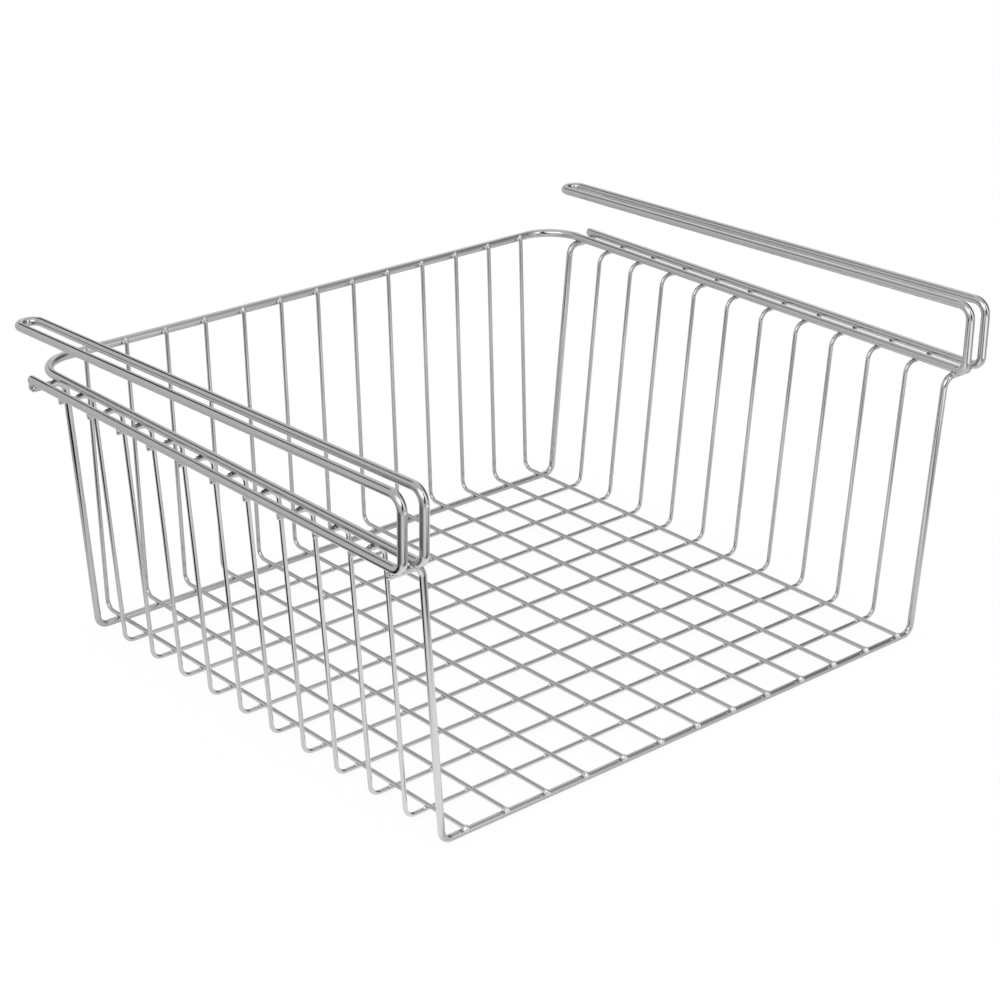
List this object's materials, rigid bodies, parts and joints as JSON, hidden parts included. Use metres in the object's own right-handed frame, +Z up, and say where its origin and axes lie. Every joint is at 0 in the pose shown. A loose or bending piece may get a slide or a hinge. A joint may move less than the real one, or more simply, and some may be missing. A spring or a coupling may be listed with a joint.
{
  "type": "hanging wire basket",
  "caption": "Open-front basket of welded steel wire whose rim wire rises at both sides into hairpin arms that slide over a shelf board, so that the basket hangs below it.",
  "frame": {"origin": "middle of the bounding box on the surface that the basket stands on, under its two thick end wires", "axes": "+X to the right across the basket, +Y from the open front to the back wall, +Z up towards the hanger arms"},
  "size_m": [0.3872, 0.3168, 0.1851],
  "materials": {
    "grid_wire": "bright plated",
    "end_wire": "bright plated",
    "rim_wire": "bright plated"
  },
  "bodies": {
    "root": {"front_cross_wire": "end_wire", "cross_wire_01": "grid_wire", "cross_wire_02": "grid_wire", "cross_wire_03": "grid_wire", "cross_wire_04": "grid_wire", "cross_wire_05": "grid_wire", "cross_wire_06": "grid_wire", "cross_wire_07": "grid_wire", "cross_wire_08": "grid_wire", "cross_wire_09": "grid_wire", "cross_wire_10": "grid_wire", "back_cross_wire": "end_wire", "long_wire_01": "grid_wire", "long_wire_02": "grid_wire", "long_wire_03": "grid_wire", "long_wire_04": "grid_wire", "long_wire_05": "grid_wire", "long_wire_06": "grid_wire", "long_wire_07": "grid_wire", "long_wire_08": "grid_wire", "long_wire_09": "grid_wire", "long_wire_10": "grid_wire", "long_wire_11": "grid_wire", "long_wire_12": "grid_wire", "long_wire_13": "grid_wire", "rim_and_hanger_wire": "rim_wire"}
  },
  "joints": []
}
